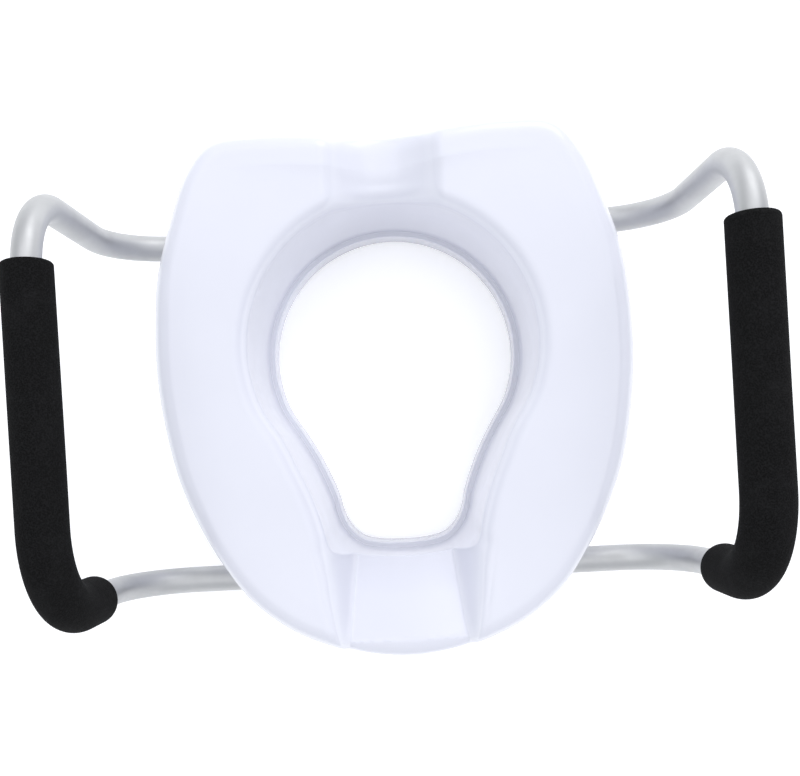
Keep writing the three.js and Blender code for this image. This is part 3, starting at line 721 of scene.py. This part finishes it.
class BentLine:
    """A centre-line of straight stretches and circular bends, measured by arc length."""

    def __init__(self, corners):
        at = [np.array(c[:3], float) for c in corners]
        self.pieces = []
        start = at[0]
        for i in range(1, len(at) - 1):
            back, ahead = at[i - 1] - at[i], at[i + 1] - at[i]
            back, ahead = back / np.linalg.norm(back), ahead / np.linalg.norm(ahead)
            corner, radius = math.acos(float(back @ ahead)), corners[i][3]
            reach = radius / math.tan(corner / 2)
            bend_from = at[i] + back * reach
            inward = (back + ahead) / np.linalg.norm(back + ahead)
            centre = at[i] + inward * radius / math.sin(corner / 2)
            self.pieces.append(("straight", np.linalg.norm(bend_from - start), start, bend_from))
            u = (bend_from - centre) / radius
            self.pieces.append(("bend", radius * (math.pi - corner), centre, u, -back, radius))
            start = at[i] + ahead * reach
        self.pieces.append(("straight", np.linalg.norm(at[-1] - start), start, at[-1]))
        self.total = sum(piece[1] for piece in self.pieces)

    def at(self, s):
        """The point and the direction of the line at an arc length."""
        for piece in self.pieces:
            if s <= piece[1] or piece is self.pieces[-1]:
                break
            s -= piece[1]
        if piece[0] == "straight":
            direction = (piece[3] - piece[2]) / piece[1]
            return piece[2] + direction * s, direction
        _, _, centre, u, v, radius = piece
        angle = s / radius
        return (centre + radius * (math.cos(angle) * u + math.sin(angle) * v),
                math.cos(angle) * v - math.sin(angle) * u)

    def stations(self, start, end, bend_step):
        """Arc lengths from start to end, close together in the bends."""
        marks, s = [start, end], 0.0
        for piece in self.pieces:
            step = bend_step if piece[0] == "bend" else 12.0
            count = max(1, math.ceil(piece[1] / step))
            marks += [s + piece[1] * k / count for k in range(count)]
            s += piece[1]
        return [m for m in sorted(set(marks)) if start <= m <= end]


ARM_LINE = BentLine(ARM_CORNERS)


def sweep_rings(line, sections, sign, sides):
    """Rings along the line: sections are (arc length, radius), or radius may be a function of the angles."""
    angles = np.linspace(0, 2 * math.pi, sides, endpoint=False)
    side = None
    rings = []
    for s, radius in sections:
        centre, direction = line.at(s)
        side = np.array([0, 0, 1.0]) if side is None else side
        side = side - direction * (side @ direction)
        side /= np.linalg.norm(side)
        other = np.cross(direction, side)
        r = radius(angles) if callable(radius) else np.full(sides, radius)
        points = centre + (r * np.cos(angles))[:, None] * side + (r * np.sin(angles))[:, None] * other
        rings.append(points * (sign, 1, 1))
    return rings


def arm_tube(side):
    """A bent tube with softened ends and a hole for each snap button."""
    sign = SIDES[side]
    marks = ARM_LINE.stations(0, ARM_LINE.total, 2.5)
    edge_round = 0.4
    outer = [(0, TUBE_R - edge_round), (edge_round, TUBE_R)]
    outer += [(s, TUBE_R) for s in marks[1:-1] if edge_round < s < ARM_LINE.total - edge_round]
    outer += [(ARM_LINE.total - edge_round, TUBE_R), (ARM_LINE.total, TUBE_R - edge_round)]
    bore = TUBE_R - TUBE_WALL
    inner = [(s, bore) for s in ARM_LINE.stations(0, ARM_LINE.total, 8)][::-1]
    tube = loft(f"{side}_arm_tube_fine", sweep_rings(ARM_LINE, outer + inner, sign, 64), closed=True)
    cutters = []
    for end in STUB_Y:
        profile = [(BUTTON_R + 0.4, STUB_HEIGHT - 16), (BUTTON_R + 0.4, STUB_HEIGHT - 4)]
        place = (sign * BUTTON_X[end], STUB_Y[end], 0)
        cutters.append(turned("button_cut", "z", profile, place, 32))
    combine(tube, cutters)
    smooth_by_angle(tube, 40)
    finish_piece(tube, f"{side}_arm", ALUMINIUM, f"{side}_arm_tube")


def arm_grip(side):
    """A foam sleeve with rounded cut ends, very slightly uneven along its length."""
    sign = SIDES[side]
    start, end = GRIP_FROM, ARM_LINE.total - GRIP_TO_END
    corner, bore = 3.2, TUBE_R + 0.35
    rng = np.random.default_rng(7 if side == "left" else 8)
    waves = [(rng.uniform(0.01, 0.05), rng.uniform(0, 6.28), rng.integers(1, 4)) for _ in range(7)]

    def uneven(s):
        def radius(angles):
            swell = sum(math.sin(k * s + phase) * np.cos(n * angles + phase) for k, phase, n in waves)
            return GRIP_R - 0.12 + 0.035 * swell
        return radius

    def end_ring(s, inset):
        return s, lambda angles: uneven(s)(angles) - inset

    sections = [(start + 0.15, bore), (start, TUBE_R + 1.6)]
    for k in range(7):
        angle = k / 6 * math.pi / 2
        sections.append(end_ring(start + corner * (1 - math.cos(angle)), corner * (1 - math.sin(angle))))
    marks = [s for s in ARM_LINE.stations(start, end, 3) if start + corner + 1 < s < end - corner - 1]
    sections += [(s, uneven(s)) for s in marks]
    for k in range(7):
        angle = (1 - k / 6) * math.pi / 2
        sections.append(end_ring(end - corner * (1 - math.cos(angle)), corner * (1 - math.sin(angle))))
    sections += [(end, TUBE_R + 1.6), (end - 0.15, bore)]
    sections += [(s, bore) for s in marks[::-2]]
    foam = loft(f"{side}_foam_grip", sweep_rings(ARM_LINE, sections, sign, 72), closed=True)
    finish_piece(foam, f"{side}_arm", FOAM, f"{side}_arm_grip")


for side_name in SIDES:
    arm_tube(side_name)
    arm_grip(side_name)


# ------------------------------------------------------------------ fittings

def arm_socket(side, end):
    """A moulded sleeve with a softened mouth, drilled for the snap button."""
    sign = SIDES[side]
    low_corner, high_corner = SOCKET_BOXES[end]
    inner, outer = float(low_corner[0]), float(high_corner[0])
    bore = SOCKET_BORE_R
    profile = [(bore, inner + 0.5), (bore + 0.5, inner), (SOCKET_R - 0.5, inner), (SOCKET_R, inner + 0.5),
               (SOCKET_R, outer - 1.2), (SOCKET_R - 0.2, outer - 0.5), (SOCKET_R - 0.7, outer - 0.1),
               (bore + 0.8, outer), (bore + 0.3, outer - 0.3), (bore, outer - 1.1)]
    profile = [(radius, sign * distance) for radius, distance in profile]
    sleeve = turned(f"{side}_{end}_socket", "x", profile, (0, STUB_Y[end], STUB_HEIGHT), 64, closed=True)
    hole = [(BUTTON_R + 0.5, STUB_HEIGHT - 20), (BUTTON_R + 0.5, STUB_HEIGHT - 5)]
    combine(sleeve, [turned("button_hole", "z", hole, (sign * BUTTON_X[end], STUB_Y[end], 0), 32)])
    smooth_by_angle(sleeve, 50)
    finish_piece(sleeve, "seat", FITTING, f"{side}_{end}_arm_socket")


def snap_button(side, end):
    """A domed steel pin on a thin flange."""
    low_corner, high_corner = BUTTON_BOXES[end]
    tip, flange_top = float(low_corner[2]), float(high_corner[2])
    flange_r = float(high_corner[1] - low_corner[1]) / 2
    dome = [(max(BUTTON_R * math.sin(a), 0.05), tip + 1.6 * (1 - math.cos(a)))
            for a in np.radians(np.linspace(0, 90, 9))]
    profile = [*dome, (BUTTON_R, flange_top - 1.2), (BUTTON_R + 0.2, flange_top - 1),
               (flange_r - 0.2, flange_top - 1), (flange_r, flange_top - 0.8), (flange_r, flange_top - 0.2),
               (flange_r - 0.2, flange_top)]
    pin = turned(f"{side}_{end}_pin", "z", profile, (SIDES[side] * BUTTON_X[end], STUB_Y[end], 0), 40)
    smooth_by_angle(pin, 45)
    finish_piece(pin, f"{side}_{end}_snap_button", SPRING, f"{side}_{end}_snap_button")


def snap_spring(side, end):
    """A leaf bent double: the lower leaf carries the button, the upper one lies against the tube."""
    sign = SIDES[side]
    low_corner, high_corner = box_mm(f"left_{end}_snap_spring")
    bottom, upper = float(low_corner[2]), float(high_corner[2])
    tip, width = float(high_corner[0]), float(high_corner[1] - low_corner[1])
    thick, bend = 0.6, 2.6
    turn_x, turn_z = float(low_corner[0]) + bend, STUB_HEIGHT
    outside = [(bottom, tip), *[(turn_z + a, turn_x + b) for a, b in arc((0, 0), bend, -180, 0, 19)],
               (upper, tip - 4)]
    inside = [(upper - thick, tip - 4),
              *[(turn_z + a, turn_x + b) for a, b in arc((0, 0), bend - thick, 0, -180, 19)],
              (bottom + thick, tip)]
    outline = [(z, sign * x) for z, x in outside + inside]
    middle = STUB_Y[end]
    leaf = extruded(f"{side}_{end}_leaf", "y", outline, middle - width / 2, middle + width / 2)
    rounded(leaf, 0.12, 1, 50)
    finish_piece(leaf, f"{side}_arm", SPRING, f"{side}_{end}_snap_spring")


def rest_pad(side, end):
    """A soft-edged rubber pad with shallow grip grooves across its foot."""
    node = f"{side}_{end}_rest_pad"
    low_corner, high_corner = box_mm(node)
    pad = block(f"{node}_rubber", low_corner, high_corner, 0.9)
    grooves = []
    for y in np.arange(low_corner[1] + 6, high_corner[1] - 5, 5.0):
        start = (low_corner[0] - 1, y - 0.6, low_corner[2] - 1)
        grooves.append(block("groove", start, (high_corner[0] + 1, y + 0.6, low_corner[2] + 0.6)))
    combine(pad, grooves)
    smooth_by_angle(pad, 35)
    finish_piece(pad, "seat", RUBBER, node)


def rear_stop(side):
    """A pressed steel bracket with a rounded bend, a rubber pad and two screws."""
    low_corner, high_corner = box_mm(f"{side}_rear_stop")
    thick, bend = 2.7, 2.4
    front, rear = float(low_corner[1]), float(high_corner[1])
    bottom, upper = float(low_corner[2]), float(high_corner[2])
    outer = arc((front + bend, upper - bend), bend, 90, 180, 9)
    inner_bend = 1.4
    inner_centre = (front + thick + inner_bend, upper - thick - inner_bend)
    inner = arc(inner_centre, inner_bend, 180, 90, 7)
    outline = [(rear, upper), *outer, (front, bottom), (front + thick, bottom), *inner, (rear, upper - thick)]
    bracket = extruded(f"{side}_stop_bracket", "x", outline, float(low_corner[0]), float(high_corner[0]))
    middle = float(low_corner[0] + high_corner[0]) / 2
    screws = [box_mm(f"{side}_rear_stop_screw_{number}") for number in (1, 2)]
    holes = []
    for corners in screws:
        y = float(corners[0][1] + corners[1][1]) / 2
        holes.append(turned("hole", "z", [(2, UNDERSIDE - 6), (2, UNDERSIDE + 6)], (middle, y, 0), 32))
    combine(bracket, holes)
    rounded(bracket, 0.35, 2, 40)
    finish_piece(bracket, "seat", STEEL, f"{side}_rear_stop")

    pad_low, pad_high = box_mm(f"{side}_rear_stop_pad")
    pad = block(f"{side}_stop_rubber", pad_low, pad_high, 0.7)
    smooth_by_angle(pad, 35)
    finish_piece(pad, "seat", RUBBER, f"{side}_rear_stop_pad")

    for number, (screw_low, screw_high) in zip((1, 2), screws):
        stop_screw(side, number, screw_low, screw_high)


def stop_screw(side, number, low_corner, high_corner):
    """A pan-head screw with a cross recess and ringed threads."""
    x, y = (low_corner[:2] + high_corner[:2]) / 2
    head_r, head_height, shank_r, core_r = float(high_corner[0] - low_corner[0]) / 2, 1.9, 1.6, 1.25
    bottom, upper = float(low_corner[2]), float(high_corner[2])
    head = [(head_r * math.sin(a), bottom + 1.3 * (1 - math.cos(a))) for a in np.radians((4, 25, 45, 65, 90))]
    profile = [*head, (head_r, bottom + head_height), (shank_r, bottom + head_height), (shank_r, bottom + 3)]
    for z in np.arange(bottom + 3.2, upper - 2, 1.0):
        profile += [(core_r, z), (shank_r, z + 0.4), (shank_r, z + 0.5)]
    profile += [(core_r, upper - 1.4), (0.15, upper)]
    screw = turned(f"{side}_stop_screw_{number}", "z", profile, (x, y, 0), 32)
    slots = [block("slot", (x - a, y - b, bottom - 1), (x + a, y + b, bottom + 1.1))
             for a, b in ((2.1, 0.45), (0.45, 2.1))]
    combine(screw, slots)
    smooth_by_angle(screw, 35)
    finish_piece(screw, "seat", STEEL, f"{side}_rear_stop_screw_{number}")


# ------------------------------------------------------------------ front clamp

THREAD_LEAD = 6  # how far the jaw moves in one turn
KNOB_LOW, KNOB_HIGH = box_mm("clamp_knob")
KNOB_R = float(KNOB_HIGH[0])
SCREW_R = float(SCREW_HIGH[0])


def lobed(radius):
    """A ring radius with six shallow finger hollows, as a function of the angles."""
    return lambda angles: radius - 2.6 * (0.5 - 0.5 * np.cos(6 * angles - math.pi)) ** 0.7


def ring_about_screw(y, radius, sides=144):
    """A ring about the screw's axis; radius may be a function of the angles."""
    angles = np.linspace(0, 2 * math.pi, sides, endpoint=False)
    r = radius(angles) if callable(radius) else np.full(sides, float(radius))
    return np.stack([r * np.sin(angles), np.full(sides, float(y)), SCREW_Z + r * np.cos(angles)], 1)


def clamp_knob():
    """A six-lobed moulded knob: a dished front, rounded lobes, a hollow back and a hub for the screw."""
    front, back = float(KNOB_LOW[1]), float(KNOB_HIGH[1])
    seat_y = float(SCREW_LOW[1]) - 0.4
    sections = [(front + 1.2, 0.5), (front + 1.2, 8), (front + 0.9, 10.5), (front + 0.2, 13), (front, 15)]
    for a in np.radians(np.linspace(90, 0, 7)):
        sections.append((front + 2.6 * (1 - math.sin(a)), lobed(KNOB_R - 2.6 * (1 - math.cos(a)))))
    for a in np.radians(np.linspace(0, 90, 6)):
        sections.append((back - 2 * (1 - math.sin(a)), lobed(KNOB_R - 2 * (1 - math.cos(a)))))
    sections += [(back, 18.4), (back - 0.5, 17.9), (back - 5.5, 17), (back - 6, 16.5), (back - 6, 9.2),
                 (back - 5.6, 8.7), (back - 0.6, 8.5), (back, 8), (back, SCREW_R + 0.7),
                 (back - 0.4, SCREW_R + 0.3), (seat_y, SCREW_R + 0.3)]
    knob = loft("knob", [ring_about_screw(y, radius) for y, radius in sections])
    smooth_by_angle(knob, 38)
    finish_piece(knob, "clamp_screw", KNOB, "clamp_knob")


def clamp_screw():
    """The shank, with a groove for the clip and a coarse two-start thread."""
    head, tip = float(SCREW_LOW[1]), float(SCREW_HIGH[1])
    clip_low, clip_high = box_mm("screw_retaining_clip")
    groove_front, groove_back = float(clip_low[1]) - CLEARANCE, float(clip_high[1]) + 0.2
    groove_r = 3.2
    thread_from = -186.0

    def thread(y):
        fade = min((y - thread_from) / 2, (tip - 0.8 - y) / 1, 1)

        def radius(angles):
            phase = (2 * (y / THREAD_LEAD - angles / (2 * math.pi))) % 1
            return SCREW_R - 0.65 * max(fade, 0) * np.clip(1.6 - 4 * np.abs(phase - 0.5), 0, 1)
        return radius

    sections = [(head, SCREW_R - 0.4), (head + 0.4, SCREW_R), (groove_front, SCREW_R),
                (groove_front, groove_r), (groove_back, groove_r), (groove_back, SCREW_R)]
    sections += [(y, thread(y)) for y in np.arange(thread_from, tip - 0.9, 0.25)]
    sections += [(tip - 0.8, SCREW_R - 0.1), (tip, SCREW_R - 1)]
    screw = loft("screw_shank", [ring_about_screw(y, radius, 60) for y, radius in sections])
    smooth_by_angle(screw, 40)
    finish_piece(screw, "clamp_screw", STEEL, "clamp_screw")


def screw_bush():
    """A flanged bush that the screw turns in."""
    front, back = float(BUSH_LOW[1]), float(BUSH_HIGH[1])
    bore = SCREW_R + 0.3
    profile = [(bore, front + 0.5), (bore + 0.5, front), (10.3, front), (10.9, front + 0.5), (11, front + 1),
               (10.8, front + 2), (7.2, front + 2), (7, front + 2.2), (7, back - 0.5), (6.5, back),
               (bore, back)]
    bush = turned("bush", "y", profile, (0, 0, SCREW_Z), 64, closed=True)
    smooth_by_angle(bush, 35)
    finish_piece(bush, "seat", FITTING, "screw_bush")


def retaining_clip():
    """A snap ring, open at the bottom."""
    low_corner, high_corner = box_mm("screw_retaining_clip")
    outline = [*arc((SCREW_Z, 0), 7.4, -145, 145, 41), *arc((SCREW_Z, 0), 3.4, 145, -145, 31)]
    clip = extruded("clip", "y", outline, float(low_corner[1]), float(high_corner[1]))
    rounded(clip, 0.15, 1, 50)
    finish_piece(clip, "clamp_screw", SPRING, "screw_retaining_clip")


def hexagon(flats):
    """A hexagon about the screw's axis, by its width across flats."""
    corner = flats / math.sqrt(3)
    return [(SCREW_Z + corner * math.cos(a), corner * math.sin(a)) for a in np.radians(np.arange(0, 360, 60))]


def clamp_nut():
    """A hexagon nut with a chamfered bore."""
    low_corner, high_corner = box_mm("clamp_nut")
    front, back = float(low_corner[1]), float(high_corner[1])
    flats = float(high_corner[0] - low_corner[0])
    nut = extruded("nut", "y", hexagon(flats), front, back)
    bore = [(SCREW_R + 1, front - 0.1), (SCREW_R + 0.3, front + 0.8), (SCREW_R + 0.3, back - 0.8),
            (SCREW_R + 1, back + 0.1)]
    combine(nut, [turned("nut_bore", "y", bore, (0, 0, SCREW_Z), 48)])
    rounded(nut, 0.45, 2, 35)
    finish_piece(nut, "clamp_jaw", STEEL, "clamp_nut")


def clamp_jaw():
    """The moulded jaw: a block that holds the nut, with lightening pockets, above a flat plate."""
    plate_top, plate_half = 37, 21
    half, front, back = float(JAW_HIGH[0]), float(JAW_LOW[1]), float(JAW_HIGH[1])
    jaw = block("jaw", (-half, front, plate_top), (half, back, JAW_HIGH[2]))
    plate = block("plate", (-plate_half, front + 4, JAW_LOW[2]), (plate_half, back - 4, plate_top + 1))
    combine(jaw, [plate], "UNION")
    nut_low = box_mm("clamp_nut")[0]
    cutters = [extruded("nut_seat", "y", hexagon(13.6), float(nut_low[1]) - CLEARANCE, back + 1),
               turned("jaw_bore", "y", [(SCREW_R + 0.6, front - 1), (SCREW_R + 0.6, back + 1)],
                      (0, 0, SCREW_Z), 48)]
    for x in (-17, 17):
        start = (x - 5.5, front + 3, plate_top + 3)
        cutters.append(block("pocket_cut", start, (x + 5.5, back + 1, JAW_HIGH[2] - 3)))
    combine(jaw, cutters)
    rounded(jaw, 0.6, 2, 40)
    finish_piece(jaw, "clamp_jaw", FITTING, "clamp_jaw")

    pad_low, pad_high = box_mm("clamp_jaw_pad")
    pad = block("jaw_rubber", pad_low, pad_high, 0.7)
    grooves = []
    for z in np.arange(pad_low[2] + 3.5, pad_high[2] - 2, 3.5):
        start = (pad_low[0] - 1, pad_low[1] - 1, z - 0.5)
        grooves.append(block("groove", start, (pad_high[0] + 1, pad_low[1] + 0.5, z + 0.5)))
    combine(pad, grooves)
    smooth_by_angle(pad, 35)
    finish_piece(pad, "clamp_jaw", RUBBER, "clamp_jaw_pad")


for side_name in SIDES:
    for end_name in STUB_Y:
        arm_socket(side_name, end_name)
        snap_button(side_name, end_name)
        snap_spring(side_name, end_name)
        rest_pad(side_name, end_name)
    rear_stop(side_name)
clamp_knob()
clamp_screw()
screw_bush()
retaining_clip()
clamp_nut()
clamp_jaw()


# ------------------------------------------------------------------ camera, light and floor

def camera():
    """The photograph's camera: nearly straight above, from about a metre."""
    data = bpy.data.cameras.new("camera")
    data.sensor_width = 36
    data.lens = 49.14
    data.shift_x = 0.0546
    data.shift_y = 0.0195
    obj = bpy.data.objects.new("camera", data)
    obj.location = (0.0093, -0.0163, 1.0522)
    obj.rotation_mode = "ZYX"
    obj.rotation_euler = (0.009, 0.0461, -0.059)
    bpy.context.collection.objects.link(obj)
    bpy.context.scene.camera = obj


def area_light(name, location, target, size, power):
    data = bpy.data.lights.new(name, "AREA")
    data.shape = "RECTANGLE"
    data.size, data.size_y = size
    data.energy = power
    obj = bpy.data.objects.new(name, data)
    obj.location = location
    obj.rotation_euler = (Vector(target) - Vector(location)).to_track_quat("-Z", "Y").to_euler()
    bpy.context.collection.objects.link(obj)


def studio_world():
    """A bright even surround, a little dimmer and less blue towards -X."""
    world = bpy.data.worlds.new("studio")
    world.use_nodes = True
    nodes, links = world.node_tree.nodes, world.node_tree.links
    place = nodes.new("ShaderNodeTexCoord")
    split = nodes.new("ShaderNodeSeparateXYZ")
    shares = nodes.new("ShaderNodeMapRange")
    blend = nodes.new("ShaderNodeMix")
    blend.data_type = "RGBA"
    shares.inputs["From Min"].default_value = -1
    shares.inputs["From Max"].default_value = -0.45
    blend.inputs[MIX_FIRST].default_value = (0.84, 0.88, 0.89, 1)
    blend.inputs[MIX_SECOND].default_value = (0.93, 0.95, 1.0, 1)
    links.new(place.outputs["Generated"], split.inputs["Vector"])
    links.new(split.outputs["X"], shares.inputs["Value"])
    links.new(shares.outputs["Result"], blend.inputs[MIX_SHARE])
    links.new(blend.outputs[MIX_RESULT], nodes["Background"].inputs["Color"])
    nodes["Background"].inputs["Strength"].default_value = 0.84
    bpy.context.scene.world = world


FLOOR_HALF = 4000


def studio():
    """Two soft lights and a white floor that glows faintly, so that it reads as white in the photo's view."""
    bpy.context.scene.view_settings.view_transform = "Standard"
    studio_world()
    area_light("overhead", (0.0, 0.5, 3.0), (0, 0, 0), (4.0, 4.0), 30)
    area_light("key", (1.0, 2.3, 1.5), (0, 0, 0.1), (2.0, 1.4), 18)
    corners = [(x * FLOOR_HALF, y * FLOOR_HALF, 0) for x, y in ((-1, -1), (1, -1), (1, 1), (-1, 1))]
    floor = mesh_object("floor", corners, [(0, 1, 2, 3)])
    paint = Shader("floor_paint", Roughness=0.8)
    paint.surface.inputs["Emission Color"].default_value = (1, 1, 1, 1)
    paint.surface.inputs["Emission Strength"].default_value = 0.28
    paint.colour(paint.ramp(paint.noise(3, 2), (0.3, 0.93), (0.7, 0.95)))
    floor.data.materials.append(paint.material)


camera()
studio()
